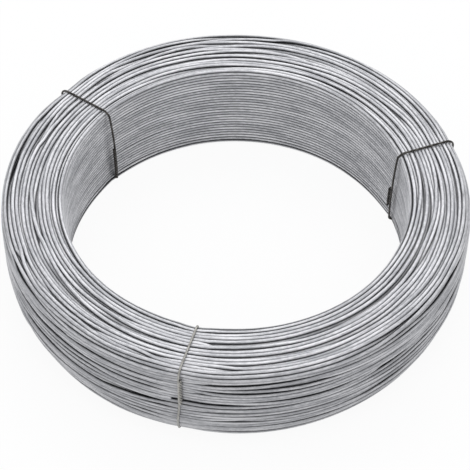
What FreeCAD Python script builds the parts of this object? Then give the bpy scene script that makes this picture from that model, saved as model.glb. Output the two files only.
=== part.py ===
import FreeCAD, Part
import math
import os

import Sketcher

# Coil of binding wire, in millimetres.  The coil's axis is Z and it stands on Z = 0.
# The wound wire is one turned solid with its bore.  Its turns show as rings on both ends.
# Three wire ties run round the section in shallow channels, each with a twisted tail.

os.makedirs("parts", exist_ok=True)
doc = FreeCAD.newDocument("coil_of_binding_wire")

# ---------------------------------------------------------------- driving dimensions
SIZES = [
    ("wire_dia", "1.8 mm", "diameter of the coiled wire"),
    ("wall_turns", "28", "turns counted up the bore wall"),
    ("coil_height", "=wire_dia * wall_turns", "height of the coil"),
    ("bore_radius", "79.5 mm", "radius of the bore wall"),
    ("outer_radius", "108 mm", "largest radius of the coil"),
    ("rim_round", "2.5 mm", "rounding of the bore's two rims"),
    ("shoulder_round", "4.5 mm", "rounding of the upper outer edge"),
    ("blend_round", "20 mm", "rounding between outer wall and lower flank"),
    ("foot_round", "4 mm", "rounding of the lower outer edge"),
    ("foot_recede", "5.5 mm", "how far the lower edge lies inside the outer wall"),
    ("flank_angle", "68 deg", "slope of the lower flank above the floor"),
    ("ring_width", "1 mm", "width of the groove between two turns on an end"),
    ("ring_depth", "0.5 mm", "depth of that groove"),
    ("tie_dia", "1 mm", "diameter of the tie wire"),
    ("tie_proud", "0.3 mm", "how far a tie stands out of the coil"),
    ("tie_gap", "0.05 mm", "room between a tie and its channel"),
    ("floor_gap", "0.1 mm", "room between a tie and the floor"),
    ("tail_dia", "1.4 mm", "diameter of the twisted tail"),
    ("tail_step", "1.1 mm", "sideways distance from a tie to its tail"),
    ("tail_left_low", "4 mm", "lower end of the left tie's tail"),
    ("tail_left_long", "22 mm", "length of the left tie's tail"),
    ("tail_right_low", "12 mm", "lower end of the right tie's tail"),
    ("tail_right_long", "13 mm", "length of the right tie's tail"),
    ("tail_front_low", "29 mm", "lower end of the front tie's tail"),
    ("tail_front_long", "16.5 mm", "length of the front tie's tail"),
    ("azimuth_front", "257.6 deg", "place of the front tie round the coil"),
    ("azimuth_left", "140.1 deg", "place of the left tie round the coil"),
    ("azimuth_right", "19.3 deg", "place of the right tie round the coil"),
    ("skew_front", "-4 deg", "turn of the front tie away from the radial direction, seen from above"),
    ("skew_left", "4.7 deg", "the same for the left tie"),
    ("skew_right", "2 deg", "the same for the right tie"),
    ("lean_front", "0 deg", "lean of the front tie away from upright"),
    ("lean_left", "-4 deg", "the same for the left tie"),
    ("lean_right", "4 deg", "the same for the right tie"),
    ("middle_radius", "=(bore_radius + outer_radius) / 2", "radius of the point that ties turn about"),
    ("middle_height", "=coil_height / 2", "height of that point"),
]

sheet = doc.addObject("Spreadsheet::Sheet", "Sizes")
sheet.Label = "Sizes"
for row, (alias, text, meaning) in enumerate(SIZES, start=1):
    sheet.set(f"A{row}", meaning)
    sheet.set(f"B{row}", text)
    sheet.setAlias(f"B{row}", alias)
doc.recompute()


def size(alias):
    """Return the value that a named cell holds, as a plain number."""
    value = sheet.get(alias)
    return float(getattr(value, "Value", value))


# ---------------------------------------------------------------- small helpers
def plane(body, role):
    """Return a body's origin plane by its role."""
    return next(item for item in body.Origin.OriginFeatures if item.Role == role)


def new_body(name):
    """Add an empty body."""
    body = doc.addObject("PartDesign::Body", name)
    body.Label = name
    return body


def new_sketch(body, name, role, height=None):
    """Add a sketch on one of a body's origin planes, raised by a named expression."""
    sketch = body.newObject("Sketcher::SketchObject", name)
    sketch.AttachmentSupport = (plane(body, role), [""])
    sketch.MapMode = "FlatFace"
    if height:
        sketch.setExpression("AttachmentOffset.Base.z", height)
    return sketch


def bind(sketch, constraint, expression):
    """Add a sketch constraint and drive it by an expression."""
    index = sketch.addConstraint(constraint)
    sketch.setExpression(f"Constraints[{index}]", expression)


class Outline:
    """One closed section outline: five straight sides joined by five tangent arcs.

    Every value is held twice: as a number, to draw the first shape, and as the
    expression that then drives it.  The sides run from the bottom, counterclockwise:
    bottom, flank, outer wall, top, bore wall.
    """

    def __init__(self, inner, outer, bottom, top, rim, foot, blend, shoulder, foot_x):
        self.inner = inner
        self.outer = outer
        self.bottom = bottom
        self.top = top
        self.rim = rim
        self.foot = foot
        self.blend = blend
        self.shoulder = shoulder
        self.foot_x = foot_x

    def draw(self, sketch):
        """Draw the outline in a sketch on the XZ plane and drive it by its expressions."""
        number = {name: self.value(text) for name, text in vars(self).items()}
        slope = math.radians(size("flank_angle"))
        foot_centre = (number["foot_x"], number["bottom"] + number["foot"])
        blend_x = number["outer"] - number["blend"]
        normal = (math.sin(slope), -math.cos(slope))
        foot_end = (foot_centre[0] + number["foot"] * normal[0], foot_centre[1] + number["foot"] * normal[1])
        blend_start_x = blend_x + number["blend"] * normal[0]
        climb = (blend_start_x - foot_end[0]) * math.tan(slope)
        blend_start = (blend_start_x, foot_end[1] + climb)
        blend_centre = (blend_x, blend_start[1] + number["blend"] * math.cos(slope))
        top_out = (number["outer"] - number["shoulder"], number["top"] - number["shoulder"])
        top_in = (number["inner"] + number["rim"], number["top"] - number["rim"])
        low_in = (number["inner"] + number["rim"], number["bottom"] + number["rim"])

        points = [
            (low_in[0], number["bottom"]),
            (foot_centre[0], number["bottom"]),
            foot_end,
            blend_start,
            (number["outer"], blend_centre[1]),
            (number["outer"], top_out[1]),
            (top_out[0], number["top"]),
            (top_in[0], number["top"]),
            (number["inner"], top_in[1]),
            (number["inner"], low_in[1]),
        ]
        centres = [foot_centre, blend_centre, top_out, top_in, low_in]
        radii = ["foot", "blend", "shoulder", "rim", "rim"]
        turns = [
            (-math.pi / 2, slope - math.pi / 2),
            (slope - math.pi / 2, 0.0),
            (0.0, math.pi / 2),
            (math.pi / 2, math.pi),
            (math.pi, 1.5 * math.pi),
        ]
        sides = []
        arcs = []
        for index in range(5):
            first = FreeCAD.Vector(*points[2 * index], 0)
            last = FreeCAD.Vector(*points[2 * index + 1], 0)
            sides.append(sketch.addGeometry(Part.LineSegment(first, last)))
            centre = FreeCAD.Vector(*centres[index], 0)
            circle = Part.Circle(centre, FreeCAD.Vector(0, 0, 1), number[radii[index]])
            arcs.append(sketch.addGeometry(Part.ArcOfCircle(circle, *turns[index])))
        for index in range(5):
            following = sides[(index + 1) % 5]
            sketch.addConstraint(Sketcher.Constraint("Tangent", sides[index], 2, arcs[index], 1))
            sketch.addConstraint(Sketcher.Constraint("Tangent", arcs[index], 2, following, 1))
        bottom, flank, wall, top, bore = sides
        sketch.addConstraint(Sketcher.Constraint("Horizontal", bottom))
        sketch.addConstraint(Sketcher.Constraint("Vertical", wall))
        sketch.addConstraint(Sketcher.Constraint("Horizontal", top))
        sketch.addConstraint(Sketcher.Constraint("Vertical", bore))
        bind(sketch, Sketcher.Constraint("Angle", flank, slope), "Sizes.flank_angle")
        for name, arc in zip(radii, arcs):
            bind(sketch, Sketcher.Constraint("Radius", arc, number[name]), self.driven(name))
        bind(sketch, Sketcher.Constraint("DistanceX", -1, 1, bore, 1, number["inner"]), self.driven("inner"))
        bind(sketch, Sketcher.Constraint("DistanceX", -1, 1, wall, 1, number["outer"]), self.driven("outer"))
        bind(sketch, Sketcher.Constraint("DistanceY", -1, 1, top, 1, number["top"]), self.driven("top"))
        foot = Sketcher.Constraint("DistanceX", -1, 1, arcs[0], 3, number["foot_x"])
        bind(sketch, foot, self.driven("foot_x"))
        if self.bottom == "0":
            sketch.addConstraint(Sketcher.Constraint("PointOnObject", bottom, 1, -1))
        else:
            lowest = Sketcher.Constraint("DistanceY", -1, 1, bottom, 1, number["bottom"])
            bind(sketch, lowest, self.driven("bottom"))

    def driven(self, name):
        """Return the expression of one value, with its names taken from the sheet."""
        return qualified(getattr(self, name))

    @staticmethod
    def value(text):
        """Return the number that an expression of named sizes has now."""
        total = 0.0
        sign = 1.0
        for word in text.split():
            if word in "+-":
                sign = 1.0 if word == "+" else -1.0
                continue
            factor, _, alias = word.rpartition("*")
            scale = float(factor) if factor else 1.0
            total += sign * scale * (size(alias) if alias[0].isalpha() else float(alias))
        return total


def qualified(text):
    """Put the sheet's name before each size in an expression of named sizes."""
    words = []
    for word in text.split():
        factor, star, alias = word.rpartition("*")
        alias = f"Sizes.{alias}" if alias[0].isalpha() else alias
        words.append(f"{factor}{star}{alias}")
    return " ".join(words)


SECTION = Outline(
    inner="bore_radius",
    outer="outer_radius",
    bottom="0",
    top="coil_height",
    rim="rim_round",
    foot="foot_round",
    blend="blend_round",
    shoulder="shoulder_round",
    foot_x="outer_radius - foot_recede - foot_round",
)

# The tie's centre line lies inside the section: by less where the tie stands proud,
# and by more at the bottom, where the tie stays clear of the floor.
TIE_LINE = Outline(
    inner="bore_radius + 0.5*tie_dia - tie_proud",
    outer="outer_radius - 0.5*tie_dia + tie_proud",
    bottom="floor_gap + 0.5*tie_dia",
    top="coil_height - 0.5*tie_dia + tie_proud",
    rim="rim_round",
    foot="foot_round",
    blend="blend_round",
    shoulder="shoulder_round",
    foot_x="outer_radius - foot_recede - foot_round - 0.5*tie_dia + tie_proud",
)
CHANNEL_FLOOR = Outline(
    inner="bore_radius + tie_dia - tie_proud + tie_gap",
    outer="outer_radius - tie_dia + tie_proud - tie_gap",
    bottom="floor_gap + tie_dia + tie_gap",
    top="coil_height - tie_dia + tie_proud - tie_gap",
    rim="rim_round - 0.5*tie_dia - tie_gap",
    foot="foot_round - 0.5*tie_dia - tie_gap",
    blend="blend_round - 0.5*tie_dia - tie_gap",
    shoulder="shoulder_round - 0.5*tie_dia - tie_gap",
    foot_x="outer_radius - foot_recede - foot_round - 0.5*tie_dia + tie_proud",
)


# ---------------------------------------------------------------- the wound wire
def turned_coil():
    """Turn the coil's section about Z, and cut the rings that its turns leave on both ends."""
    body = new_body("coil_turned")
    section = new_sketch(body, "coil_section", "XZ_Plane")
    SECTION.draw(section)
    doc.recompute()
    turned = body.newObject("PartDesign::Revolution", "coil_turning")
    turned.Profile = section
    turned.ReferenceAxis = (section, ["V_Axis"])
    turned.Angle = 360
    doc.recompute()

    rings = new_sketch(body, "end_rings", "XZ_Plane")
    top_first = size("bore_radius") + 2 * size("wire_dia")
    flat_top = size("outer_radius") - size("shoulder_round")
    flat_bottom = size("outer_radius") - size("foot_recede") - size("foot_round")
    for face, limit in (("top", flat_top), ("bottom", flat_bottom)):
        count = int((limit - top_first) / size("wire_dia")) + 1
        for index in range(count):
            ring_notch(rings, face, index + 2)
    doc.recompute()
    cut = body.newObject("PartDesign::Groove", "end_ring_grooves")
    cut.Profile = rings
    cut.ReferenceAxis = (rings, ["V_Axis"])
    cut.Angle = 360
    doc.recompute()
    if cut.Shape.Volume >= turned.Shape.Volume:
        raise RuntimeError("the end rings cut nothing")
    return body


def ring_notch(sketch, face, step):
    """Draw one V between two turns on an end: its point in the coil and its base outside."""
    at_top = face == "top"
    level = size("coil_height") if at_top else 0.0
    into = -1.0 if at_top else 1.0
    middle = size("bore_radius") + step * size("wire_dia")
    wide = size("ring_width")
    deep = size("ring_depth")
    corners = [
        FreeCAD.Vector(middle - wide, level - into * deep, 0),
        FreeCAD.Vector(middle + wide, level - into * deep, 0),
        FreeCAD.Vector(middle, level + into * deep, 0),
    ]
    sides = [
        sketch.addGeometry(Part.LineSegment(corners[index], corners[(index + 1) % 3]))
        for index in range(3)
    ]
    for index in range(3):
        following = sides[(index + 1) % 3]
        sketch.addConstraint(Sketcher.Constraint("Coincident", sides[index], 2, following, 1))
    base, rising, falling = sides
    sketch.addConstraint(Sketcher.Constraint("Horizontal", base))
    sketch.addConstraint(Sketcher.Constraint("Equal", rising, falling))
    bind(sketch, Sketcher.Constraint("DistanceX", base, 1, base, 2, 2 * wide), "2 * Sizes.ring_width")
    place = f"Sizes.bore_radius + {step} * Sizes.wire_dia"
    bind(sketch, Sketcher.Constraint("DistanceX", -1, 1, falling, 1, middle), place)
    if at_top:
        point = Sketcher.Constraint("DistanceY", -1, 1, falling, 1, level - deep)
        bind(sketch, point, "Sizes.coil_height - Sizes.ring_depth")
        raised = Sketcher.Constraint("DistanceY", -1, 1, base, 1, level + deep)
        bind(sketch, raised, "Sizes.coil_height + Sizes.ring_depth")
    else:
        point = Sketcher.Constraint("DistanceY", -1, 1, falling, 1, deep)
        bind(sketch, point, "Sizes.ring_depth")
        lowered = Sketcher.Constraint("DistanceY", base, 1, -1, 1, deep)
        bind(sketch, lowered, "Sizes.ring_depth")


# ---------------------------------------------------------------- ties and their channels
TAILS = {
    "left": ("inner", "tail_left_low", "tail_left_long"),
    "right": ("inner", "tail_right_low", "tail_right_long"),
    "front": ("outer", "tail_front_low", "tail_front_long"),
}
TAIL_PLACE = {
    "inner": "bore_radius - tie_proud + 0.5*tail_dia",
    "outer": "outer_radius + tie_proud - 0.5*tail_dia",
}


def tie(side):
    """Sweep one tie round the section and set its twisted tail beside it."""
    wall, low, long = TAILS[side]
    body = new_body(f"tie_{side}")
    line = new_sketch(body, f"tie_{side}_line", "XZ_Plane")
    TIE_LINE.draw(line)
    middle = new_sketch(body, f"tie_{side}_circle", "XY_Plane", "Sizes.coil_height / 2")
    draw_circle(middle, Outline.value(TIE_LINE.inner), 0.0, qualified(TIE_LINE.inner), None, "tie_dia")
    doc.recompute()
    loop = body.newObject("PartDesign::AdditivePipe", f"tie_{side}_loop")
    loop.Profile = middle
    loop.Spine = (line, [f"Edge{index}" for index in range(1, 11)])
    doc.recompute()
    place = TAIL_PLACE[wall]
    across = new_sketch(body, f"tie_{side}_tail_circle", "XY_Plane", f"Sizes.{low}")
    middle = (Outline.value(place), size("tail_step"))
    draw_circle(across, *middle, qualified(place), "Sizes.tail_step", "tail_dia")
    doc.recompute()
    tail = body.newObject("PartDesign::Pad", f"tie_{side}_tail")
    tail.Profile = across
    tail.setExpression("Length", f"Sizes.{long}")
    doc.recompute()
    turn_to(body, side)
    return body


def draw_circle(sketch, x, y, x_text, y_text, diameter):
    """Draw a driven circle with its centre at x, y; with no y_text it lies on the X axis."""
    centre = FreeCAD.Vector(x, y, 0)
    ring = sketch.addGeometry(Part.Circle(centre, FreeCAD.Vector(0, 0, 1), size(diameter) / 2))
    bind(sketch, Sketcher.Constraint("Diameter", ring, size(diameter)), f"Sizes.{diameter}")
    bind(sketch, Sketcher.Constraint("DistanceX", -1, 1, ring, 3, x), x_text)
    if y_text:
        bind(sketch, Sketcher.Constraint("DistanceY", -1, 1, ring, 3, y), y_text)
    else:
        sketch.addConstraint(Sketcher.Constraint("PointOnObject", ring, 3, -1))


def channel(side):
    """Build the tool that clears one tie's channel and the recess of its tail."""
    wall, low, long = TAILS[side]
    body = new_body(f"channel_{side}")
    ring = new_sketch(body, f"channel_{side}_section", "XZ_Plane")
    CHANNEL_FLOOR.draw(ring)
    frame = [
        ("bore_radius - wire_dia", "0 - wire_dia"),
        ("outer_radius + wire_dia", "0 - wire_dia"),
        ("outer_radius + wire_dia", "coil_height + wire_dia"),
        ("bore_radius - wire_dia", "coil_height + wire_dia"),
    ]
    draw_box(ring, frame)
    doc.recompute()
    around = body.newObject("PartDesign::Pad", f"channel_{side}_ring")
    around.Profile = ring
    around.SideType = "Symmetric"
    around.setExpression("Length", "Sizes.tie_dia + 2 * Sizes.tie_gap")
    doc.recompute()

    recess = new_sketch(body, f"channel_{side}_recess", "XY_Plane", f"Sizes.{low} - Sizes.tie_dia / 2")
    if wall == "inner":
        near, far = "bore_radius - wire_dia", "bore_radius - tie_proud + tail_dia + tie_gap"
    else:
        near, far = "outer_radius + tie_proud - tail_dia - tie_gap", "outer_radius + wire_dia"
    beside = "tail_step + 0.5*tail_dia + tie_gap"
    draw_box(recess, [(near, "0"), (far, "0"), (far, beside), (near, beside)])
    doc.recompute()
    pocket = body.newObject("PartDesign::Pad", f"channel_{side}_tail")
    pocket.Profile = recess
    pocket.setExpression("Length", f"Sizes.{long} + Sizes.tie_dia")
    doc.recompute()
    turn_to(body, side)
    return body


def draw_box(sketch, corners):
    """Draw a driven rectangle from four corners that are given as expressions."""
    numbers = [FreeCAD.Vector(Outline.value(x), Outline.value(y), 0) for x, y in corners]
    sides = [
        sketch.addGeometry(Part.LineSegment(numbers[index], numbers[(index + 1) % 4]))
        for index in range(4)
    ]
    for index in range(4):
        following = sides[(index + 1) % 4]
        sketch.addConstraint(Sketcher.Constraint("Coincident", sides[index], 2, following, 1))
    bottom, right, top, left = sides
    for level in (bottom, top):
        sketch.addConstraint(Sketcher.Constraint("Horizontal", level))
    for upright in (right, left):
        sketch.addConstraint(Sketcher.Constraint("Vertical", upright))
    for side, corner in ((bottom, 0), (top, 2)):
        x, y = corners[corner]
        here = numbers[corner]
        bind(sketch, Sketcher.Constraint("DistanceX", -1, 1, side, 1, here.x), qualified(x))
        if y == "0":
            sketch.addConstraint(Sketcher.Constraint("PointOnObject", side, 1, -1))
        elif y.startswith("0 - "):
            below = Sketcher.Constraint("DistanceY", side, 1, -1, 1, -here.y)
            bind(sketch, below, qualified(y[4:]))
        else:
            bind(sketch, Sketcher.Constraint("DistanceY", -1, 1, side, 1, here.y), qualified(y))


def turn_to(body, side):
    """Skew and lean a body about the section's middle, and turn it round the coil to its place."""
    round_coil = f"placement(vector(0; 0; 0); rotation(vector(0; 0; 1); Sizes.azimuth_{side}))"
    outwards = "placement(vector(Sizes.middle_radius; 0; Sizes.middle_height); rotation(vector(0; 0; 1); 0))"
    skewed = f"placement(vector(0; 0; 0); rotation(vector(0; 0; 1); Sizes.skew_{side}))"
    leaning = f"placement(vector(0; 0; 0); rotation(vector(1; 0; 0); Sizes.lean_{side}))"
    back = "placement(vector(-Sizes.middle_radius; 0; -Sizes.middle_height); rotation(vector(0; 0; 1); 0))"
    body.setExpression("Placement", f"{round_coil} * {outwards} * {skewed} * {leaning} * {back}")
    doc.recompute()


# ---------------------------------------------------------------- assembly of the model
def build():
    """Build the coil and its three ties."""
    turned = turned_coil()
    channels = [channel(side) for side in TAILS]
    tools = doc.addObject("Part::MultiFuse", "channels")
    tools.Shapes = channels
    coil = doc.addObject("Part::Cut", "wire_coil")
    coil.Label = "wire_coil"
    coil.Base = turned
    coil.Tool = tools
    doc.recompute()
    return [coil] + [tie(side) for side in ("front", "left", "right")]


def check_and_export(nodes):
    """Stop on any feature that failed, then write each node's solid."""
    for item in doc.Objects:
        if "Invalid" in item.State or "Error" in item.State:
            raise RuntimeError(f"{item.Name} failed: {item.State}")
    for node in nodes:
        shape = node.Shape
        if shape.isNull() or not shape.isValid() or len(shape.Solids) != 1:
            raise RuntimeError(f"{node.Label} is not one valid solid")
        shape.exportStep(f"parts/{node.Label}.step")
        box = shape.BoundBox
        print(node.Label, round(shape.Volume, 2), [round(v, 3) for v in (box.XMin, box.YMin, box.ZMin)],
              [round(v, 3) for v in (box.XMax, box.YMax, box.ZMax)])


doc.recompute()
check_and_export(build())
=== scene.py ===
"""Visual model of a coil of galvanised binding wire, held by three twisted wire ties."""

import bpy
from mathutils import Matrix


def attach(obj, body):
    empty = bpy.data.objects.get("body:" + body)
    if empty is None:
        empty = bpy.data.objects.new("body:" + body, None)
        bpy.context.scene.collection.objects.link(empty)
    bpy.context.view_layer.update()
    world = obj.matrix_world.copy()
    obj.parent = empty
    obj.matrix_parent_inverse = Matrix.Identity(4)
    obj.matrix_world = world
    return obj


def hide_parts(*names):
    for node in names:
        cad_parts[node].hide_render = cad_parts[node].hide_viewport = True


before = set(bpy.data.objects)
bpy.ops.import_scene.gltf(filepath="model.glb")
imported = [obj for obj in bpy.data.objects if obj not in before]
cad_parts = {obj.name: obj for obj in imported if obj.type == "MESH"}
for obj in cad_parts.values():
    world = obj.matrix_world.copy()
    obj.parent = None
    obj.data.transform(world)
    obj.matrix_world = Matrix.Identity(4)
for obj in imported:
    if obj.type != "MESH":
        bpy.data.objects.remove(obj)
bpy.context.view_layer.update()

import logging
import math
from dataclasses import dataclass, field
from enum import Enum
from typing import Any

import bpy
import numpy as np
from mathutils import Euler, Matrix

MM = 0.001
LOG = logging.getLogger("coil")


# ------------------------------------------------------------------ node and colour helpers
def hex_to_linear(code: str) -> tuple[float, float, float, float]:
    """Turn an sRGB hex colour into linear red, green, blue and alpha.

    Args:
        code: Six hex digits, with or without a leading hash.

    Returns:
        The linear colour with alpha 1.
    """
    digits = code.lstrip("#")
    srgb = np.array([int(digits[place:place + 2], 16) for place in (0, 2, 4)]) / 255.0
    linear = np.where(srgb <= 0.04045, srgb / 12.92, ((srgb + 0.055) / 1.055) ** 2.4)
    return float(linear[0]), float(linear[1]), float(linear[2]), 1.0


def add_node(
    tree: bpy.types.NodeTree,
    kind: str,
    settings: dict[str, Any] | None = None,
    feeds: dict[Any, Any] | None = None,
) -> bpy.types.Node:
    """Add one node with its settings, constants and links.

    Args:
        tree: The node tree that gets the node.
        kind: Blender's type name of the node.
        settings: Attribute values of the node.
        feeds: Input name or number mapped to a constant or to the output socket to link.

    Returns:
        The new node.
    """
    node = tree.nodes.new(kind)
    for name, value in (settings or {}).items():
        setattr(node, name, value)
    for name, value in (feeds or {}).items():
        if isinstance(value, bpy.types.NodeSocket):
            tree.links.new(value, node.inputs[name])
        else:
            node.inputs[name].default_value = value
    return node


def colour_ramp(node: bpy.types.Node, stops: list[tuple[float, str]]) -> None:
    """Set the stops of a Color Ramp node.

    Args:
        node: The Color Ramp node.
        stops: Pairs of position and hex colour, in order.
    """
    elements = node.color_ramp.elements
    while len(elements) < len(stops):
        elements.new(0.5)
    for element, (position, code) in zip(elements, stops):
        element.position = position
        element.color = hex_to_linear(code)


# ------------------------------------------------------------------ finishes
@dataclass(frozen=True)
class HotDipZinc:
    """Hot-dip galvanised steel wire, wiped, coiled and slightly weathered.

    The zinc freezes into a satin skin. Its brightness drifts along the wire with the thickness
    of the coat and fine flecks stretch along it from the wiping. Painted shade darkens it to a
    near-black colour between the turns, on the undersides of turns on the walls and on turns
    that lie deep, so that the crowns are pale and the lines between them nearly black.
    """

    name: str = "hot_dip_zinc"
    bright: str = "#EEEEF1"
    dull: str = "#B7B8BC"
    # near-black colour of the painted shade between the turns and under them
    crevice_shade: str = "#2A2B2D"
    metallic: float = 0.4
    roughness: float = 0.4
    drift_mm: tuple[float, float] = (26.0, 3.0)
    # Real wiping marks are a few hundredths of a millimetre wide: they are drawn coarser to show.
    fleck_mm: tuple[float, float] = (2.4, 0.8)

    def along_wire(
        self, tree: bpy.types.NodeTree, size_mm: tuple[float, float], detail: float,
    ) -> bpy.types.Node:
        """Add noise that is stretched along the wire.

        Args:
            tree: The node tree.
            size_mm: Size of the pattern along the wire and across it.
            detail: Detail of the noise.

        Returns:
            The noise node.
        """
        place = add_node(tree, "ShaderNodeAttribute", {"attribute_name": "wire_place"}).outputs["Vector"]
        along, across = 1.0 / (size_mm[0] * MM), 1.0 / (size_mm[1] * MM)
        scaled = add_node(
            tree, "ShaderNodeVectorMath", {"operation": "MULTIPLY"}, {0: place, 1: (along, across, across)},
        )
        return add_node(
            tree, "ShaderNodeTexNoise", {},
            {"Vector": scaled.outputs["Vector"], "Scale": 1.0, "Detail": detail, "Roughness": 0.6},
        )

    def build(self) -> bpy.types.Material:
        """Build the material from the wire's own attributes.

        Returns:
            The finished material.
        """
        material = bpy.data.materials.new(self.name)
        material.use_nodes = True
        tree = material.node_tree
        tree.nodes.clear()
        drift = self.along_wire(tree, self.drift_mm, 2.0)
        fleck = self.along_wire(tree, self.fleck_mm, 3.0)
        painted_light = add_node(tree, "ShaderNodeAttribute", {"attribute_name": "painted_light"}).outputs["Fac"]
        both = add_node(
            tree, "ShaderNodeMix", {"data_type": "FLOAT"},
            {0: 0.42, 2: drift.outputs["Fac"], 3: fleck.outputs["Fac"]},
        )
        tone = add_node(tree, "ShaderNodeValToRGB", {}, {"Fac": both.outputs[0]})
        colour_ramp(tone, [(0.41, self.dull), (0.59, self.bright)])
        # painted shade: the colour goes from the zinc tone on crowns to the near-black shade colour between
        # turns, under them and on deep turns
        colour = add_node(
            tree, "ShaderNodeMix", {"data_type": "RGBA"},
            {0: painted_light, 6: hex_to_linear(self.crevice_shade), 7: tone.outputs["Color"]},
        )
        rough = add_node(
            tree, "ShaderNodeMapRange", {},
            {
                "Value": fleck.outputs["Fac"], "From Min": 0.3, "From Max": 0.7,
                "To Min": self.roughness - 0.1, "To Max": self.roughness + 0.14,
            },
        )
        bump = add_node(
            tree, "ShaderNodeBump", {},
            {"Strength": 0.35, "Distance": 0.05 * MM, "Height": fleck.outputs["Fac"]},
        )
        shader = add_node(
            tree, "ShaderNodeBsdfPrincipled", {},
            {
                "Base Color": colour.outputs[2], "Metallic": self.metallic,
                "Roughness": rough.outputs["Result"], "Normal": bump.outputs["Normal"],
            },
        )
        add_node(tree, "ShaderNodeOutputMaterial", {}, {"Surface": shader.outputs["BSDF"]})
        return material


@dataclass(frozen=True)
class BlackAnnealed:
    """Black annealed tie wire: soft steel under a thin dark oxide, rubbed brighter in patches."""

    name: str = "black_annealed"
    oxide: str = "#3A3836"
    rubbed: str = "#6E6B68"
    roughness: float = 0.42
    rub_mm: float = 1.6

    def build(self) -> bpy.types.Material:
        """Build the material from Object coordinates.

        Returns:
            The finished material.
        """
        material = bpy.data.materials.new(self.name)
        material.use_nodes = True
        tree = material.node_tree
        tree.nodes.clear()
        place = add_node(tree, "ShaderNodeTexCoord").outputs["Object"]
        rub = add_node(
            tree, "ShaderNodeTexNoise", {},
            {"Vector": place, "Scale": 1.0 / (self.rub_mm * MM), "Detail": 3.0, "Roughness": 0.6},
        )
        tone = add_node(tree, "ShaderNodeValToRGB", {}, {"Fac": rub.outputs["Fac"]})
        colour_ramp(tone, [(0.48, self.oxide), (0.72, self.rubbed)])
        bump = add_node(
            tree, "ShaderNodeBump", {},
            {"Strength": 0.3, "Distance": 0.04 * MM, "Height": rub.outputs["Fac"]},
        )
        shader = add_node(
            tree, "ShaderNodeBsdfPrincipled", {},
            {
                "Base Color": tone.outputs["Color"], "Metallic": 1.0,
                "Roughness": self.roughness, "Normal": bump.outputs["Normal"],
            },
        )
        add_node(tree, "ShaderNodeOutputMaterial", {}, {"Surface": shader.outputs["BSDF"]})
        return material


# ------------------------------------------------------------------ round wires as meshes
def smooth_step(low: float, high: float, value: np.ndarray) -> np.ndarray:
    """Return 0 below low, 1 above high and 3t^2 - 2t^3 in between."""
    part = np.clip((value - low) / (high - low), 0.0, 1.0)
    return part * part * (3.0 - 2.0 * part)


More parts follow.
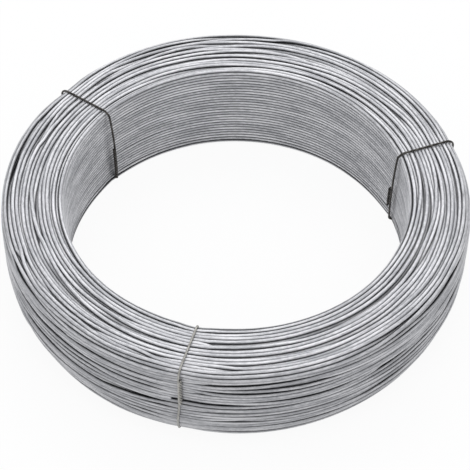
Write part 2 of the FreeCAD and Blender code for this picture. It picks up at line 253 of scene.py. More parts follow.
class WireMesh:
    """Round wires that are gathered into one mesh, with two values at every vertex.

    wire_place is where the vertex lay when the wire was straight: distance along it, and the
    two distances across it. The other value is painted light and shade: 1 on a crown that is
    painted lit, 0 deep between two turns where painted shade falls.
    """

    def __init__(self, sides: int) -> None:
        """Start an empty mesh whose wires have the given number of sides."""
        self.sides = sides
        self.points: list[np.ndarray] = []
        self.places: list[np.ndarray] = []
        self.painted_shading: list[np.ndarray] = []
        self.quads: list[np.ndarray] = []
        self.caps: list[list[int]] = []
        self.count = 0

    def around(self) -> np.ndarray:
        """Return the angle of every side round the wire."""
        return np.arange(self.sides) * (2.0 * math.pi / self.sides)

    def add(
        self,
        centres: np.ndarray,
        first: np.ndarray,
        second: np.ndarray,
        radius: float,
        painted_light: np.ndarray,
        closed: bool = False,
        begin: float = 0.0,
    ) -> None:
        """Add one wire.

        A vertex is centre + radius * (cos a * first + sin a * second), for every centre and
        every angle a round the wire. The vectors first, second and ahead are right-handed.

        Args:
            centres: Centre line, n by 3, in metres.
            first: Unit vectors across the wire, n by 3.
            second: Unit vectors across the wire and square to the first ones, n by 3.
            radius: Radius of the wire, in metres.
            painted_light: Painted light and shade at each vertex, 1 lit and 0 shaded, n by sides.
            closed: Whether the wire closes on itself.
            begin: Distance along the wire of its first point, in metres.
        """
        angle = self.around()
        cos, sin = np.cos(angle)[None, :, None], np.sin(angle)[None, :, None]
        across = cos * first[:, None, :] + sin * second[:, None, :]
        grid = centres[:, None, :] + radius * across
        run = begin + np.concatenate([[0.0], np.cumsum(np.linalg.norm(np.diff(centres, axis=0), axis=1))])
        place = np.stack(
            [
                np.repeat(run[:, None], self.sides, axis=1),
                np.tile(radius * np.cos(angle), (len(run), 1)),
                np.tile(radius * np.sin(angle), (len(run), 1)),
            ],
            axis=-1,
        )
        self.points.append(grid.reshape(-1, 3))
        self.places.append(place.reshape(-1, 3))
        self.painted_shading.append(np.clip(painted_light, 0.0, 1.0).reshape(-1))
        self.join(len(centres), closed)
        self.count += len(centres) * self.sides

    def join(self, count: int, closed: bool) -> None:
        """Add the faces between the rings of a wire, and caps when it is open.

        Args:
            count: Number of rings.
            closed: Whether the last ring joins the first.
        """
        ring = np.arange(count if closed else count - 1)[:, None]
        turn = np.arange(self.sides)[None, :]
        here = self.count + ring * self.sides
        after = self.count + (ring + 1) % count * self.sides
        beside = (turn + 1) % self.sides
        quads = np.stack([here + turn, here + beside, after + beside, after + turn], axis=-1)
        self.quads.append(quads.reshape(-1, 4))
        if not closed:
            last = self.count + (count - 1) * self.sides
            self.caps.append(list(range(self.count + self.sides - 1, self.count - 1, -1)))
            self.caps.append(list(range(last, last + self.sides)))

    def finish(self, name: str, material: bpy.types.Material, slot: str, node: str) -> bpy.types.Object:
        """Make the mesh and its object.

        Args:
            name: Name of the piece.
            material: Finish of the piece.
            slot: Material slot of the record; not used.
            node: CAD node that the piece stands for.

        Returns:
            The new object.
        """
        mesh = bpy.data.meshes.new(name)
        points, quads = np.concatenate(self.points), np.concatenate(self.quads)
        sizes = np.concatenate([np.full(len(quads), 4), np.full(len(self.caps), self.sides)])
        corners = np.concatenate([quads.reshape(-1), np.array(self.caps, dtype=int).reshape(-1)])
        mesh.vertices.add(len(points))
        mesh.vertices.foreach_set("co", points.astype(np.float32).reshape(-1))
        mesh.loops.add(len(corners))
        mesh.loops.foreach_set("vertex_index", corners.astype(np.int32))
        mesh.polygons.add(len(sizes))
        mesh.polygons.foreach_set("loop_start", (np.cumsum(sizes) - sizes).astype(np.int32))
        mesh.polygons.foreach_set("loop_total", sizes.astype(np.int32))
        mesh.polygons.foreach_set("use_smooth", np.arange(len(sizes)) < len(quads))
        mesh.update(calc_edges=True)
        mesh.validate()
        place = mesh.attributes.new("wire_place", "FLOAT_VECTOR", "POINT")
        place.data.foreach_set("vector", np.concatenate(self.places).astype(np.float32).reshape(-1))
        # painted light and shade at each vertex, which the zinc finish reads
        painted_shading = mesh.attributes.new("painted_light", "FLOAT", "POINT")
        painted_shading.data.foreach_set("value", np.concatenate(self.painted_shading).astype(np.float32))
        mesh.materials.append(material)
        piece = bpy.data.objects.new(name, mesh)
        bpy.context.scene.collection.objects.link(piece)
        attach(piece, "root")
        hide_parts(node)
        LOG.info("%s: %d faces", name, len(sizes))
        return piece


# ------------------------------------------------------------------ the wound wire
@dataclass(frozen=True)
class Section:
    """The coil's section as support planes: a wire's centre stays inside every plane.

    Sizes are in millimetres. A plane is a unit normal and its distance from the origin of
    the section, whose first axis is the radius and whose second is the height.
    """

    bore: float = 79.5
    outer: float = 108.0
    height: float = 50.4
    rim_round: float = 2.5
    shoulder_round: float = 4.5
    foot_round: float = 4.0
    foot_centre: float = 98.5
    flank_slope: float = 68.0
    blend_round: float = 20.0

    def flank(self) -> float:
        """Return the angle of the lower flank's normal, in radians."""
        return math.radians(self.flank_slope) - math.pi / 2

    def blend_centre(self, inset: float = 0.0) -> tuple[float, float]:
        """Return the centre of the arc between the lower flank and the outer wall.

        Both the foot's arc and this one touch the flank, so their centres lie at the same
        distance from it, less their radii.

        Args:
            inset: How far the section is moved inwards, in millimetres.

        Returns:
            Radius and height of the centre.
        """
        flank = self.flank()
        foot = (self.foot_centre - inset, self.foot_round)
        flank_reach = math.cos(flank) * foot[0] + math.sin(flank) * foot[1] + self.foot_round
        across = self.outer - inset - self.blend_round
        return across, (math.cos(flank) * across + self.blend_round - flank_reach) / -math.sin(flank)

    def planes(self) -> tuple[np.ndarray, np.ndarray]:
        """Return the normals and the distances of the support planes.

        Returns:
            Normals, p by 2, and distances, p.
        """
        arcs = [
            ((self.foot_centre, self.foot_round), self.foot_round,
             (-90, -68, -45, math.degrees(self.flank()))),
            (self.blend_centre(), self.blend_round, (-14, -6, 0)),
            ((self.outer - self.shoulder_round, self.height - self.shoulder_round), self.shoulder_round,
             (18, 36, 54, 72, 90)),
            ((self.bore + self.rim_round, self.height - self.rim_round), self.rim_round,
             (112, 135, 158, 180)),
            ((self.bore + self.rim_round, self.rim_round), self.rim_round, (202, 225, 248)),
        ]
        normals, reaches = [], []
        for centre, radius, angles in arcs:
            for angle in np.radians(angles):
                normal = (math.cos(angle), math.sin(angle))
                normals.append(normal)
                reaches.append(normal[0] * centre[0] + normal[1] * centre[1] + radius)
        return np.array(normals), np.array(reaches)


@dataclass(frozen=True)
class Furrow:
    """A long pointed gap that opens between two turns at the surface.

    Attributes:
        start: Where it begins round the coil, in degrees.
        end: Where it ends, in degrees.
        first: Radius and height of its beginning, in millimetres.
        last: Radius and height of its end, in millimetres.
        width: Its widest opening, in millimetres.
    """

    start: float
    end: float
    first: tuple[float, float]
    last: tuple[float, float]
    width: float = 1.6


FURROWS = [
    # upper end, at the back
    Furrow(66, 112, (104.4, 50.0), (103.4, 50.2), 1.1),
    Furrow(70, 99, (101.6, 50.4), (101.0, 50.4), 1.0),
    Furrow(64, 122, (95.4, 50.4), (98.2, 50.4), 1.05),
    Furrow(58, 114, (91.0, 50.4), (93.2, 50.4), 1.2),
    Furrow(62, 126, (87.4, 50.4), (89.6, 50.4), 1.0),
    Furrow(60, 118, (84.2, 50.4), (86.4, 50.4), 1.05),
    Furrow(64, 134, (81.4, 50.2), (82.4, 50.4), 1.0),
    # upper end, on the left
    Furrow(148, 196, (100.9, 50.4), (97.6, 50.4), 1.1),
    Furrow(182, 214, (97.6, 50.4), (93.6, 50.4), 1.05),
    Furrow(150, 212, (90.4, 50.4), (88.0, 50.4), 1.1),
    Furrow(170, 206, (104.4, 50.2), (102.0, 50.4), 1.2),
    Furrow(174, 204, (87.9, 50.4), (87.4, 50.4), 1.1),
    Furrow(152, 190, (97.0, 50.4), (95.4, 50.4), 1.2),
    # upper end, on the right and at the front
    Furrow(22, 58, (97.0, 50.4), (96.2, 50.4), 1.05),
    Furrow(20, 60, (83.0, 50.4), (82.0, 50.4), 1.2),
    Furrow(-22, 4, (101.6, 50.2), (102.2, 50.2), 1.05),
    Furrow(-40, -12, (95.0, 50.4), (94.2, 50.4), 1.05),
    Furrow(-90, -40, (90.6, 50.4), (89.2, 50.4), 1.2),
    Furrow(-60, 8, (85.6, 50.4), (86.4, 50.4), 1.2),
    Furrow(-128, -106, (96.4, 50.4), (95.0, 50.4), 1.1),
    Furrow(-104, -62, (82.4, 50.4), (83.0, 50.4), 1.0),
    Furrow(-150, -108, (86.2, 50.4), (85.2, 50.4), 1.2),
    # outer wall, at the front
    Furrow(-101, -70, (107.6, 44.2), (107.6, 45.2), 1.0),
    Furrow(-106, -64, (107.4, 38.6), (107.6, 37.4), 1.9),
    Furrow(-104, -70, (107.8, 31.6), (107.8, 32.8), 1.1),
    Furrow(-102, -68, (107.9, 23.4), (107.9, 24.6), 1.4),
    # stepped lower wall, where each layer ends a little higher than the one inside it
    Furrow(-103, -70, (107.5, 17.8), (107.8, 20.2), 1.5),
    Furrow(-112, -70, (106.6, 13.6), (107.2, 15.6), 1.6),
    Furrow(-104, -62, (104.9, 9.4), (104.5, 8.4), 1.6),
    Furrow(-110, -72, (103.2, 5.2), (103.0, 4.8), 1.4),
    Furrow(-170, -122, (107.6, 17.4), (107.8, 19.0), 1.3),
    Furrow(-158, -108, (106.6, 13.2), (106.9, 14.4), 1.5),
    Furrow(-164, -106, (105.0, 9.4), (105.4, 10.4), 1.5),
    Furrow(-150, -112, (103.3, 5.4), (103.0, 4.8), 1.5),
    Furrow(-64, -16, (107.5, 16.4), (107.2, 15.4), 1.5),
    Furrow(-70, -20, (105.6, 11.2), (105.2, 10.4), 1.5),
    Furrow(-66, -28, (103.5, 5.8), (103.3, 5.2), 1.5),
    Furrow(10, 70, (107.0, 14.8), (107.0, 14.8), 1.5),
    Furrow(60, 150, (105.2, 10.4), (104.9, 9.6), 1.5),
    Furrow(130, 190, (107.0, 14.8), (106.8, 14.4), 1.5),
    # outer wall, elsewhere
    Furrow(-155, -128, (107.6, 46.4), (107.8, 46.2)),
    Furrow(-143, -106, (107.4, 41.6), (107.6, 42.4)),
    Furrow(-132, -114, (108.0, 35.8), (108.0, 35.6)),
    Furrow(-150, -124, (108.0, 28.4), (107.7, 23.4)),
    Furrow(-167, -152, (108.0, 39.0), (108.0, 33.4), 1.7),
    Furrow(-54, -22, (107.7, 42.8), (106.4, 48.6), 2.0),
    Furrow(-60, -34, (107.8, 37.0), (108.0, 36.0), 1.05),
    Furrow(-51, -26, (108.0, 25.6), (108.0, 28.0), 1.1),
    Furrow(40, 95, (108.0, 36.0), (108.0, 34.0), 1.8),
    Furrow(120, 165, (108.0, 30.0), (107.7, 33.0), 1.6),
    Furrow(-5, 30, (108.0, 24.0), (107.9, 26.0), 1.6),
]


@dataclass
class Winding:
    """One wire wound in layers, up and down, and let settle into a loose coil.

    The wire is one line: its radius and height in the section are functions of how far it
    has gone round. Layers climb and fall by one wire diameter a turn, so neighbours cross
    at small angles, as they do in a coil made on a traversing winder. Sizes are in
    millimetres and degrees.

    Attributes:
        wire: Diameter of the wire.
        layers: Number of layers.
        layer_step: Radius from one layer to the next.
        loose_pitch: Pitch of the outer layers, in wire diameters.
        end_height: Height of the wire's cut end.
        end_angle: Place of that end round the coil.
        wander: Size of the wire's slow wander away from the bore wall.
        uneven: Size of the waves in the coil's outer surface.
        slack_reach: How far the outer surface lies inside the section on average.
        tie_pinch: How far a tie pulls the turns in.
        pinch_width: Half width of that dent.
        push_share: Share of an overlap that one push takes away.
        slices: Points a turn.
        steps: Steps of the settling.
        seed: Start of the chance.
        section: The section that holds the wire.
    """

    wire: float = 1.8
    layers: int = 18
    layer_step: float = 1.57
    loose_pitch: float = 1.18
    end_height: float = 30.7
    end_angle: float = 255.3
    wander: float = 0.75
    uneven: float = 0.22
    slack_reach: float = 0.12
    tie_pinch: float = 0.75
    pinch_width: float = 5.0
    push_share: float = 0.36
    slices: int = 144
    steps: int = 220
    seed: int = 11
    section: Section = field(default_factory=Section)

    def lay(self, dice: np.random.Generator) -> np.ndarray:
        """Lay the layers on each other before they settle.

        Radius is bore + half a wire + layer number times the layer step, which is a little
        over 0.87 of the wire because turns lie in the hollows below them. Height runs from
        the lowest to the highest place that the section leaves at that radius, and back in
        the next layer. The last layer comes down only as far as the end of the wire.

        Args:
            dice: Source of chance.

        Returns:
            Radius and height along the wire, turns by slices by 2, in millimetres.
        """
        normals, reaches = self.section.planes()
        radii, heights = [], []
        for layer in range(self.layers):
            radius = self.section.bore + self.wire / 2 + layer * self.layer_step
            room = reaches - self.wire / 2 - normals[:, 0] * radius
            high = np.min(room[normals[:, 1] > 0.05] / normals[normals[:, 1] > 0.05, 1])
            low = np.max(room[normals[:, 1] < -0.05] / normals[normals[:, 1] < -0.05, 1])
            loose = 1.0 if layer < 2 else self.loose_pitch
            if layer == self.layers - 1:
                low = self.end_height
            turns = (high - low) / (self.wire * loose) + 1.0
            if layer >= 2:
                turns += dice.uniform(-0.45, 0.45)
            count = max(int(round(turns * self.slices)), 2)
            part = np.linspace(0.0, 1.0, count)
            radii.append(np.full(count, radius))
            heights.append(low + (high - low) * (part if layer % 2 == 0 else 1.0 - part))
        line = np.stack([np.concatenate(radii), np.concatenate(heights)], axis=1)
        turns = len(line) // self.slices
        return line[: turns * self.slices].reshape(turns, self.slices, 2)

    def slack(self, line: np.ndarray, dice: np.random.Generator) -> np.ndarray:
        """Return a slow random wander of the wire, none of it at the bore wall.

        White noise along the wire is smoothed over about a tenth of a turn and scaled by
        how far the wire lies from the bore.

        Args:
            line: The wire, turns by slices by 2.
            dice: Source of chance.

        Returns:
            Shift of each point, the same shape as the line.
        """
        count = line.shape[0] * line.shape[1]
        reach = int(self.slices * 0.09)
        window = np.hanning(2 * reach + 1)
        window /= np.sqrt(np.sum(window ** 2))
        drifts = [np.convolve(dice.normal(size=count), window, mode="same") for _ in range(2)]
        noise = np.stack(drifts, axis=1)
        depth = line[..., :1] - self.section.bore
        size = np.clip((depth - 2.2) / 6.0, 0.0, 1.0) * self.wander
        return noise.reshape(line.shape) * size

    def near_pairs(self, line: np.ndarray) -> tuple[np.ndarray, np.ndarray, np.ndarray]:
        """List the turns that come close to each other anywhere round the coil.

        Args:
            line: The wire, turns by slices by 2.

        Returns:
            For every directed pair the turn and its neighbour, and where each turn's run
            of pairs starts.
        """
        few = line[:, ::4]
        closest = np.full((len(line), len(line)), np.inf, dtype=np.float32)
        for part in range(few.shape[1]):
            gap = few[:, None, part] - few[None, :, part]
            closest = np.minimum(closest, np.einsum("ijc,ijc->ij", gap, gap))
        np.fill_diagonal(closest, np.inf)
        turn, other = np.nonzero(closest < (1.25 * self.wire) ** 2)
        starts = np.searchsorted(turn, np.arange(len(line)))
        return turn, other, starts

    def part_turns(self, line: np.ndarray, pairs: tuple[np.ndarray, np.ndarray, np.ndarray]) -> np.ndarray:
        """Push apart every two turns that lie closer than one wire diameter.

        Each of the two moves along the line between their centres by a share of the
        overlap.

        Args:
            line: The wire, turns by slices by 2.
            pairs: Directed pairs from near_pairs.

        Returns:
            The moved wire.
        """
        turn, other, starts = pairs
        gap = line[turn] - line[other]
        far = np.sqrt(np.einsum("pkc,pkc->pk", gap, gap)) + 1e-6
        push = np.clip(self.wire - far, 0.0, None) / far * self.push_share
        moved = gap * push[..., None]
        return line + np.add.reduceat(moved, starts, axis=0)

    def keep_furrows(self, line: np.ndarray) -> np.ndarray:
        """Keep the turns clear of each furrow's lens-shaped rod.

        Args:
            line: The wire, turns by slices by 2.

        Returns:
            The moved wire.
        """
        angle = np.degrees(np.arange(self.slices) * 2.0 * math.pi / self.slices)
        for furrow in FURROWS:
            along = (angle - furrow.start) % 360.0 / (furrow.end - furrow.start)
            here = np.nonzero(along < 1.0)[0]
            part = along[here]
            rod = np.outer(1.0 - part, furrow.first) + np.outer(part, furrow.last)
            size = 0.5 * furrow.width * (1.0 - (2.0 * part - 1.0) ** 2)
            gap = line[:, here] - rod[None]
            far = np.sqrt(np.einsum("tkc,tkc->tk", gap, gap)) + 1e-6
            push = np.clip(size[None] + self.wire / 2 - far, 0.0, None) / far
            line[:, here] += gap * push[..., None]
        return line

    def keep_inside(self, line: np.ndarray, reaches: np.ndarray, normals: np.ndarray) -> np.ndarray:
        """Move every point that has left a support plane back to it.

        Args:
            line: The wire, turns by slices by 2.
            reaches: Distance of each plane at each slice, planes by slices.
            normals: Normals of the planes, planes by 2.

        Returns:
            The moved wire.
        """
        for normal, reach in zip(normals, reaches):
            over = line @ normal - reach[None]
            line = line - np.clip(over, 0.0, None)[..., None] * normal
        return line

    def stiffen(self, line: np.ndarray, share: float) -> np.ndarray:
        """Ease the wire towards the middle of its two neighbours along its length.

        Args:
            line: The wire, turns by slices by 2.
            share: How far each point moves.

        Returns:
            The moved wire.
        """
        flat = line.reshape(-1, 2)
        eased = flat.copy()
        eased[1:-1] += share * (0.5 * (flat[:-2] + flat[2:]) - flat[1:-1])
        return eased.reshape(line.shape)

    def plane_reaches(self, dice: np.random.Generator, ties: list[float]) -> tuple[np.ndarray, np.ndarray]:
        """Return the section's planes at every slice: uneven, and pulled in under each tie.

        Args:
            dice: Source of chance.
            ties: Where the ties are round the coil, in degrees.

        Returns:
            Normals, p by 2, and distances, p by slices.
        """
        normals, reaches = self.section.planes()
        angle = np.arange(self.slices) * 2.0 * math.pi / self.slices
        uneven = np.zeros((len(reaches), self.slices))
        for wave in range(2, 9):
            size = dice.normal(size=(len(reaches), 2)) * self.uneven / wave ** 0.5
            uneven += size[:, :1] * np.cos(wave * angle) + size[:, 1:] * np.sin(wave * angle)
        loose = np.clip(normals[:, 0], 0.0, 1.0)[:, None]
        out = reaches[:, None] - self.wire / 2 - loose * np.clip(uneven + self.slack_reach, 0.0, None)
        for tie in ties:
            away = np.degrees(np.angle(np.exp(1j * (angle - math.radians(tie)))))
            out -= self.tie_pinch * np.exp(-((away / self.pinch_width) ** 2))
        return normals, out

    def settle(self, ties: list[float]) -> tuple[np.ndarray, np.ndarray, np.ndarray]:
        """Lay the wire, shake it, and let the turns push each other into place.

        Args:
            ties: Where the ties are round the coil, in degrees.

        Returns:
            Radius and height along the wire, turns by slices by 2, in millimetres, how deep
            each point lies under the coil's surface, and the way out of the coil from it.
        """
        dice = np.random.default_rng(self.seed)
        line = self.lay(dice)
        normals, reaches = self.plane_reaches(dice, ties)
        line = (line + self.slack(line, dice)).astype(np.float32)
        pairs = self.near_pairs(line)
        steps = self.steps
        for step in range(steps):
            if step % 25 == 24:
                pairs = self.near_pairs(line)
            line = self.part_turns(line, pairs)
            line = self.keep_furrows(line)
            line = self.keep_inside(line, reaches, normals).astype(np.float32)
            if step < steps - 12:
                line = self.stiffen(line, 0.5)
        room = reaches[:, None, :] - np.einsum("pc,tkc->ptk", normals, line)
        deep = room.min(axis=0)
        share = np.exp((deep[None] - room) / 0.6)
        out = np.einsum("ptk,pc->tkc", share, normals)
        return line, deep, out / np.linalg.norm(out, axis=-1)[..., None]


@dataclass
class WireCoil:
    """The wound wire as round tubes: only the turns that can be seen are made.

    Attributes:
        winding: The wire's line.
        sides: Sides of the round wire.
        shown_depth: Turns that stay deeper than this, in millimetres, aren't made.
        share: Most turns in one piece.
        slice_run: Mean length of the wire from one ring to the next, in millimetres.
    """

    winding: Winding
    sides: int = 12
    shown_depth: float = 3.0
    share: int = 50
    slice_run: float = 4.1

    def painted_shading(self, out: np.ndarray, deep: np.ndarray, around: np.ndarray) -> np.ndarray:
        """Paint light and shade round the wire: 1 on a crown painted lit, 0 in a hollow painted in shade.

        It follows the cosine between the way a place faces and the way out of the coil, and
        falls with the depth of the turn, which paints shade on sunk turns. On a wall it also
        follows the cosine to a direction tilted upwards, which paints shade on the underside of a
        turn. The bore wall is painted a little lighter, with the sharpest lines, and the outer
        wall a little darker.

        Args:
            out: Way out of the coil at each ring of the wire, n by 2.
            deep: Depth of each ring under the surface, n.
            around: Angles of the sides round the wire.

        Returns:
            Value at each vertex, n by sides.
        """
        faces = np.stack([np.cos(around), np.sin(around)])
        tilted = out + np.array([0.0, 0.45])
        tilted /= np.linalg.norm(tilted, axis=1)[:, None]
        bore = np.clip(-out[:, :1], 0.0, 1.0)
        # painted shade on the underside of each turn on a wall
        under = 1.0 - np.abs(out[:, :1]) * (1.0 - smooth_step(0.15, 0.9, tilted @ faces))
        outer = np.clip(out[:, :1], 0.0, 1.0)
        # painted shade on deep turns and on the outer wall, painted light on the bore wall
        shade = (0.92 + 0.08 * bore - 0.16 * outer) * (1.0 - 0.5 * smooth_step(0.5, 2.4, deep))[:, None]
        return smooth_step(0.05 + 0.3 * bore, 0.8 + 0.15 * bore, out @ faces) * under * shade

    def build(self, material: bpy.types.Material, ties: list[float]) -> list[bpy.types.Object]:
        """Build the visible turns in pieces of a fair size.

        A ring of the wire lies in the plane through the coil's axis. Its vertices are painted
        lit where they face out of the coil and painted in shade where the turn lies deep.

        Args:
            material: Finish of the wire.
            ties: Where the ties are round the coil, in degrees.

        Returns:
            The pieces.
        """
        line, deep, out = self.winding.settle(ties)
        shown = np.nonzero(np.quantile(deep, 0.02, axis=1) < self.shown_depth)[0]
        LOG.info("%d turns, %d of them shown", len(line), len(shown))
        slices = self.winding.slices
        flat, deep, out = line.reshape(-1, 2), deep.reshape(-1), out.reshape(-1, 2)
        end = len(flat) - slices + round(self.winding.end_angle / 360.0 * slices) + 1
        pieces = []
        for number, group in enumerate(np.array_split(shown, math.ceil(len(shown) / self.share))):
            mesh = WireMesh(self.sides)
            for run in np.split(group, np.nonzero(np.diff(group) > 1)[0] + 1):
                step = np.arange(run[0] * slices, min((run[-1] + 1) * slices + 1, end))
                angle = step * (2.0 * math.pi / slices)
                outwards = np.stack([np.cos(angle), np.sin(angle), np.zeros(len(angle))], axis=1)
                up = np.tile([0.0, 0.0, 1.0], (len(angle), 1))
                centres = (outwards * flat[step, :1] + up * flat[step, 1:]) * MM
                # painted light and shade round each ring; the last ring at the cut end is painted lit
                painted_light = self.painted_shading(out[step], deep[step], mesh.around())
                if step[-1] == end - 1:
                    painted_light[-1] = 1.0
                radius, begin = self.winding.wire / 2 * MM, step[0] * self.slice_run * MM
                mesh.add(centres, outwards, up, radius, painted_light, begin=begin)
            name = f"wound_wire_{number + 1}"
            pieces.append(mesh.finish(name, material, "galvanised_wire", "wire_coil"))
        return pieces


# ------------------------------------------------------------------ the ties
class TailWall(Enum):
    """The wall that a tie's twisted tail lies against."""

    BORE = "bore"
    OUTER = "outer"


@dataclass
class WireTie:
    """A short wire round the coil's section, its ends twisted together and folded flat.

    Sizes are in millimetres and degrees.

    Attributes:
        name: CAD node that the tie stands for.
        slot: Material slot of the record.
        azimuth: Place round the coil.
        skew: Turn away from the radial direction, seen from above.
        lean: Lean away from upright.
        wall: Wall that the tail lies against.
        tail_low: Lower end of the tail.
        tail_long: Length of the tail.
        bow: How far the tie stands off the bore wall at half height.
        foot_side: How far its lower outer run drifts sideways.
        drift_height: Height below which it drifts.
        tail_side: Sideways distance from the tie to its tail.
        strand: Radius of a strand of the tail, and of its turn round the tail's middle.
        twist: Length of one turn of the strands.
        wire: Diameter of the tie.
        proud: How far it stands out of the coil.
        floor_gap: Room between the tie and the floor.
        middle: Radius and height of the point that it turns about.
        section: The section that it lies round.
    """

    name: str
    slot: str
    azimuth: float
    skew: float
    lean: float
    wall: TailWall
    tail_low: float
    tail_long: float
    bow: float = 0.0
    foot_side: float = 0.0
    drift_height: float = 28.0
    tail_side: float = 1.1
    strand: float = 0.42
    twist: float = 3.6
    wire: float = 1.0
    proud: float = 0.3
    floor_gap: float = 0.1
    middle: tuple[float, float] = (93.75, 25.2)
    section: Section = field(default_factory=Section)

    def arch(self, height: np.ndarray) -> np.ndarray:
        """Return how far the tie stands off the bore wall: sqrt(4t(1-t)), with t the share of the height."""
        part = np.clip(height / self.section.height, 0.0, 1.0)
        return np.sqrt(4.0 * part * (1.0 - part))

    def loop_path(self, count: int = 260) -> np.ndarray:
        """Return the closed path round the section: radius, sideways and height, in millimetres.

        The path is the section's outline moved inwards by half the tie less how far it
        stands proud: five arcs joined by straight runs, in even steps. On the bore wall it
        bows inwards, and on the lower outer wall it drifts sideways.

        Args:
            count: Points of the path.

        Returns:
            Points, count by 3.
        """
        inset = self.wire / 2 - self.proud
        part = self.section
        slope = math.degrees(part.flank())
        floor = self.floor_gap + self.wire / 2
        shoulder = (part.outer - inset - part.shoulder_round, part.height - inset - part.shoulder_round)
        rim = part.bore + inset + part.rim_round
        arcs = [
            ((part.foot_centre - inset, floor + part.foot_round), part.foot_round, -90.0, slope),
            (part.blend_centre(inset), part.blend_round, slope, 0.0),
            (shoulder, part.shoulder_round, 0.0, 90.0),
            ((rim, part.height - inset - part.rim_round), part.rim_round, 90.0, 180.0),
            ((rim, floor + part.rim_round), part.rim_round, 180.0, 270.0),
        ]
        corners = []
        for centre, radius, start, end in arcs:
            angle = np.radians(np.linspace(start, end, 12))
            corners.append(np.array(centre) + radius * np.stack([np.cos(angle), np.sin(angle)], axis=1))
        outline = np.concatenate(corners + [corners[0][:1]])
        run = np.concatenate([[0.0], np.cumsum(np.linalg.norm(np.diff(outline, axis=0), axis=1))])
        even = np.linspace(0.0, run[-1], count, endpoint=False)
        path = np.stack([np.interp(even, run, outline[:, axis]) for axis in (0, 1)], axis=1)
        on_bore = np.clip(1.0 - (path[:, 0] - part.bore - inset) / 0.4, 0.0, 1.0)
        path[:, 0] -= self.bow * on_bore * self.arch(path[:, 1])
        low = smooth_step(0.0, 1.0, 1.0 - path[:, 1] / self.drift_height)
        low *= smooth_step(part.bore + 4.0, 98.0, path[:, 0])
        return np.stack([path[:, 0], self.foot_side * low, path[:, 1]], axis=1)

    def place(self, radius: np.ndarray, side: np.ndarray, height: np.ndarray) -> np.ndarray:
        """Put points given by radius, sideways distance and height at the tie's place.

        They lean about the radial line through the middle of the section, then skew about
        the upright line through it, then turn about the coil's axis.

        Args:
            radius: Distance outwards, in millimetres.
            side: Distance sideways, counterclockwise seen from above, in millimetres.
            height: Height, in millimetres.

        Returns:
            Points in metres, n by 3.
        """
        lean, skew, turn = (math.radians(angle) for angle in (self.lean, self.skew, self.azimuth))
        out, up = radius - self.middle[0], height - self.middle[1]
        cos, sin = math.cos(lean), math.sin(lean)
        side, up = side * cos - up * sin, side * sin + up * cos
        cos, sin = math.cos(skew), math.sin(skew)
        out, side = out * cos - side * sin, out * sin + side * cos
        out = out + self.middle[0]
        x = out * math.cos(turn) - side * math.sin(turn)
        y = out * math.sin(turn) + side * math.cos(turn)
        return np.stack([x, y, up + self.middle[1]], axis=1) * MM

    def tube(
        self, mesh: WireMesh, centres: np.ndarray, heart: np.ndarray, radius: float, closed: bool,
    ) -> None:
        """Add one wire whose profile starts on the side away from its heart, painted lit there and painted
        in shade towards its heart.

        Args:
            mesh: The mesh that gets the wire.
            centres: Centre line, n by 3, in metres.
            heart: What the wire bends round at each point, n by 3 or 1 by 3, in metres.
            radius: Radius of the wire, in millimetres.
            closed: Whether the wire closes on itself.
        """
        if closed:
            ahead = np.roll(centres, -1, axis=0) - np.roll(centres, 1, axis=0)
        else:
            ahead = np.gradient(centres, axis=0)
        ahead /= np.linalg.norm(ahead, axis=1)[:, None]
        away = centres - heart
        first = away - np.einsum("nc,nc->n", away, ahead)[:, None] * ahead
        first /= np.linalg.norm(first, axis=1)[:, None]
        second = np.cross(ahead, first)
        # painted shade on the side facing its heart: towards the coil under the loop, towards the other
        # strand in the tail
        painted_light = np.tile(smooth_step(-0.6, 0.5, np.cos(mesh.around())), (len(centres), 1))
        mesh.add(centres, first, second, radius * MM, painted_light, closed)

    def build(self, material: bpy.types.Material) -> bpy.types.Object:
        """Build the loop and its twisted tail as one piece.

        Args:
            material: Finish of the tie.

        Returns:
            The piece.
        """
        path = self.loop_path()
        mesh = WireMesh(10)
        heart = self.place(np.full(1, self.middle[0]), np.zeros(1), np.full(1, self.middle[1]))
        self.tube(mesh, self.place(path[:, 0], path[:, 1], path[:, 2]), heart, self.wire / 2, closed=True)
        for phase in (0.0, math.pi):
            strand, heart = self.tail(phase, self.strand), self.tail(phase, 0.0)
            self.tube(mesh, strand, heart, self.strand, closed=False)
        return mesh.finish(self.name + "_wire", material, self.slot, self.name)

    def tail(self, phase: float, thin: float) -> np.ndarray:
        """Return the centre line of one of the tail's two strands.

        It is a helix: it goes down the wall by its length while it turns round the tail's
        middle.

        Args:
            phase: Angle of the strand round the tail's middle.
            thin: Distance of the strand from that middle, in millimetres.

        Returns:
            Points in metres, n by 3.
        """
        part = np.linspace(0.0, 1.0, 90)
        height = self.tail_low + self.tail_long * (1.0 - part)
        angle = phase + part * self.tail_long / self.twist * 2.0 * math.pi
        if self.wall is TailWall.BORE:
            middle = self.section.bore - 0.25 - self.bow * self.arch(height)
        else:
            middle = np.full(len(part), self.section.outer - 0.15)
        return self.place(middle + thin * np.cos(angle), self.tail_side + thin * np.sin(angle), height)


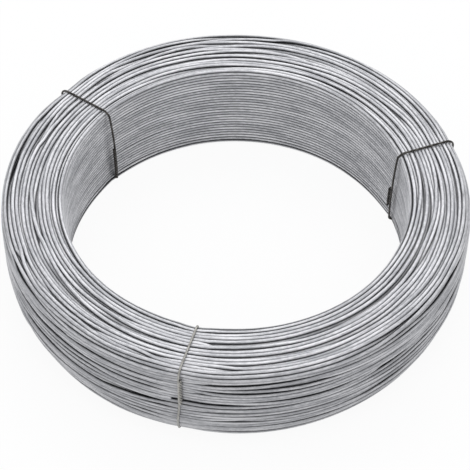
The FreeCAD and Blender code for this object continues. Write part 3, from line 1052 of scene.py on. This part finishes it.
# ------------------------------------------------------------------ studio
@dataclass
class Studio:
    """A pale floor, even light and the camera."""

    lens: float = 151.97
    distance: float = 0.948
    elevation: float = 49.36
    roll: float = 0.4

    def camera(self) -> None:
        """Set the camera in front of the coil, looking down on it."""
        data = bpy.data.cameras.new("camera")
        data.lens = self.lens
        data.sensor_width = 36.0
        data.shift_x = -0.0015
        data.shift_y = 0.0591
        data.clip_start = 0.01
        camera = bpy.data.objects.new("camera", data)
        rise = math.radians(self.elevation)
        camera.location = (0.0, -math.cos(rise) * self.distance, math.sin(rise) * self.distance)
        camera.rotation_mode = "XYZ"
        tilt = math.pi / 2 - rise
        spin = math.radians(self.roll)
        turn = Euler((tilt, 0.0, 0.0)).to_matrix() @ Matrix.Rotation(spin, 3, "Z")
        camera.rotation_euler = turn.to_euler("XYZ")
        bpy.context.scene.collection.objects.link(camera)
        bpy.context.scene.camera = camera

    def seen_rays(self, tree: bpy.types.NodeTree) -> bpy.types.NodeSocket:
        """Add a mask that is 1 for camera, transmission and glossy rays.

        Args:
            tree: The node tree.

        Returns:
            The mask's output.
        """
        rays = add_node(tree, "ShaderNodeLightPath")
        seen = add_node(
            tree, "ShaderNodeMath", {"operation": "MAXIMUM"},
            {0: rays.outputs["Is Camera Ray"], 1: rays.outputs["Is Transmission Ray"]},
        )
        seen = add_node(
            tree, "ShaderNodeMath", {"operation": "MAXIMUM"},
            {0: seen.outputs["Value"], 1: rays.outputs["Is Glossy Ray"]},
        )
        return seen.outputs["Value"]

    def floor(self) -> None:
        """Lay the floor: white, with the coil's soft shadow on it."""
        mesh = bpy.data.meshes.new("floor")
        reach = 3.0
        corners = [(-reach, -reach, 0.0), (reach, -reach, 0.0), (reach, reach, 0.0), (-reach, reach, 0.0)]
        mesh.from_pydata(corners, [], [(0, 1, 2, 3)])
        floor = bpy.data.objects.new("floor", mesh)
        bpy.context.scene.collection.objects.link(floor)
        material = bpy.data.materials.new("pale_floor")
        material.use_nodes = True
        tree = material.node_tree
        tree.nodes.clear()
        seen = self.seen_rays(tree)
        tone = add_node(
            tree, "ShaderNodeMix", {"data_type": "RGBA"},
            {0: seen, 6: hex_to_linear("#D4D4D4"), 7: hex_to_linear("#FFFFFF")},
        )
        matt = add_node(tree, "ShaderNodeBsdfDiffuse", {}, {"Color": tone.outputs[2]})
        glow = add_node(tree, "ShaderNodeEmission", {}, {"Color": hex_to_linear("#FFFFFF"), "Strength": 1.0})
        blend = add_node(
            tree, "ShaderNodeMixShader", {}, {0: 0.92, 1: matt.outputs["BSDF"], 2: glow.outputs["Emission"]},
        )
        pick = add_node(
            tree, "ShaderNodeMixShader", {},
            {0: seen, 1: matt.outputs["BSDF"], 2: blend.outputs["Shader"]},
        )
        add_node(tree, "ShaderNodeOutputMaterial", {}, {"Surface": pick.outputs["Shader"]})
        mesh.materials.append(material)

    def world(self) -> None:
        """Light the scene evenly from all round, white behind the coil."""
        world = bpy.data.worlds.new("world")
        bpy.context.scene.world = world
        world.use_nodes = True
        tree = world.node_tree
        tree.nodes.clear()
        seen = self.seen_rays(tree)
        white = add_node(
            tree, "ShaderNodeBackground", {}, {"Color": hex_to_linear("#FFFFFF"), "Strength": 1.0},
        )
        room = add_node(
            tree, "ShaderNodeBackground", {}, {"Color": hex_to_linear("#F4F5F8"), "Strength": 0.84},
        )
        pick = add_node(
            tree, "ShaderNodeMixShader", {},
            {0: seen, 1: room.outputs["Background"], 2: white.outputs["Background"]},
        )
        add_node(tree, "ShaderNodeOutputWorld", {}, {"Surface": pick.outputs["Shader"]})

    def lamp(self, name: str, place: tuple[float, float, float], size: float, power: float) -> None:
        """Hang one square area lamp that points at the coil.

        Args:
            name: Name of the lamp.
            place: Where it hangs, in metres.
            size: Length of its side, in metres.
            power: Its power, in watts.
        """
        data = bpy.data.lights.new(name, "AREA")
        data.size = size
        data.energy = power
        lamp = bpy.data.objects.new(name, data)
        lamp.location = place
        x, y, z = place
        lamp.rotation_euler = (math.acos(z / math.dist(place, (0, 0, 0))), 0.0, math.atan2(x, -y))
        bpy.context.scene.collection.objects.link(lamp)

    def build(self) -> None:
        """Set up the whole studio."""
        self.world()
        self.floor()
        self.lamp("behind", (0.0, 0.9, 1.15), 0.9, 3.6)
        self.lamp("overhead", (0.0, -0.3, 1.35), 0.6, 2.4)
        self.camera()
        bpy.context.scene.view_settings.view_transform = "Standard"


def main() -> None:
    """Build every piece in order."""
    logging.basicConfig(level=logging.INFO, format="%(name)s: %(message)s")
    zinc = HotDipZinc().build()
    tie_zinc = HotDipZinc(name="tie_zinc", bright="#C4C2BC", dull="#8A8883", roughness=0.34).build()
    annealed = BlackAnnealed().build()
    ties = [
        (
            WireTie(
                "tie_front", "light_tie_wire", azimuth=-102.4, skew=-4.0, lean=0.0, wall=TailWall.OUTER,
                tail_low=29.0, tail_long=16.5, foot_side=-2.4, tail_side=0.8,
            ),
            tie_zinc,
        ),
        (
            WireTie(
                "tie_left", "dark_tie_wire", azimuth=140.1, skew=4.7, lean=-4.0, wall=TailWall.BORE,
                tail_low=4.0, tail_long=22.0, bow=1.8,
            ),
            annealed,
        ),
        (
            WireTie(
                "tie_right", "dark_tie_wire", azimuth=19.3, skew=2.0, lean=4.0, wall=TailWall.BORE,
                tail_low=12.0, tail_long=13.0, bow=1.3,
            ),
            annealed,
        ),
    ]
    # the wire rounds the rims less than the CAD section does
    WireCoil(Winding(section=Section(rim_round=1.5))).build(zinc, [tie.azimuth for tie, _ in ties])
    for tie, finish in ties:
        tie.build(finish)
    Studio().build()


if __name__ == "__main__":
    main()
